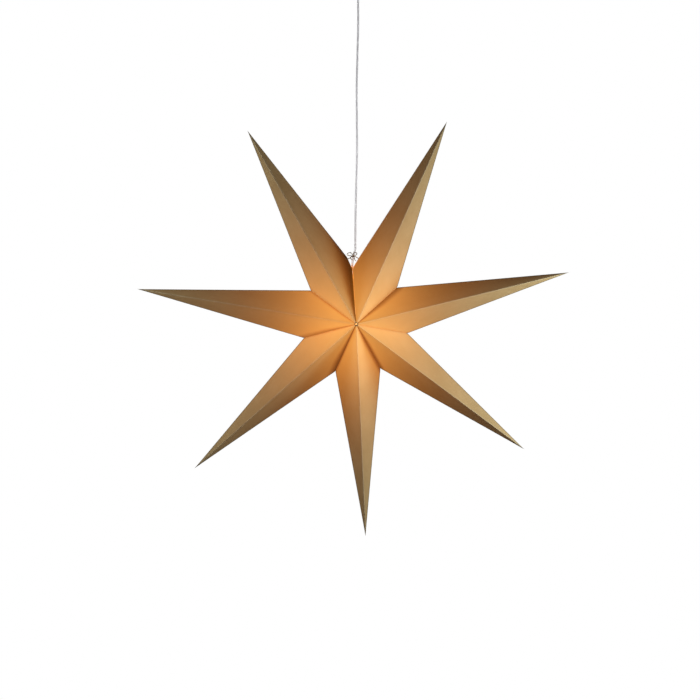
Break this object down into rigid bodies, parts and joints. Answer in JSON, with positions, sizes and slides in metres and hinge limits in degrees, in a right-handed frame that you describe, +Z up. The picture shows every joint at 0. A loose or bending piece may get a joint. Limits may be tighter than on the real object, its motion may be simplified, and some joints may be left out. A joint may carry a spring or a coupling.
{
  "type": "paper advent star",
  "caption": "Hanging seven-pointed folded kraft paper star, lit from inside by a globe bulb on its cord, tied round the cord at its open seam",
  "frame": {"origin": "middle of the ceiling face of the mounting strap, on the axis of the hanging cord", "axes": "+Z up out of the ceiling face, -Y the side that the picture shows, +X to the right seen from there"},
  "size_m": [0.9886, 0.2232, 1.3002],
  "materials": {
    "kraft_card": "matte brown kraft card, uncoated",
    "white_string": "thin twisted white string",
    "pale_pvc": "pale grey flexible cord",
    "brown_pvc": "brown core insulation",
    "blue_pvc": "blue core insulation",
    "white_bakelite": "white moulded lamp holder",
    "white_nylon": "white nylon fittings",
    "white_plastic": "white ceiling cup",
    "brass": "brass contacts",
    "zinc_steel": "zinc-plated steel",
    "opal_glass": "opal glass globe, lit warm"
  },
  "bodies": {
    "root": {"paper_point_1": "kraft_card", "paper_point_2": "kraft_card", "paper_point_3": "kraft_card", "paper_point_4": "kraft_card", "paper_point_5": "kraft_card", "paper_point_6": "kraft_card", "paper_point_7": "kraft_card", "tie_string": "white_string", "cord": "pale_pvc", "lamp_core_live": "brown_pvc", "lamp_core_neutral": "blue_pvc", "supply_core_live": "brown_pvc", "supply_core_neutral": "blue_pvc", "holder_cap": "white_bakelite", "cord_screw": "white_nylon", "holder_body": "white_bakelite", "screw_shell": "brass", "centre_contact": "brass", "live_terminal": "brass", "neutral_terminal": "brass", "terminal_screws": "zinc_steel", "bulb": "opal_glass", "ceiling_cup": "white_plastic", "cord_grip": "white_nylon", "grip_nut": "white_nylon", "grip_screw": "white_nylon", "mounting_strap": "zinc_steel", "side_screws": "zinc_steel", "connector_block": "white_nylon", "connector_sleeves": "brass", "connector_screws": "zinc_steel"}
  },
  "joints": []
}
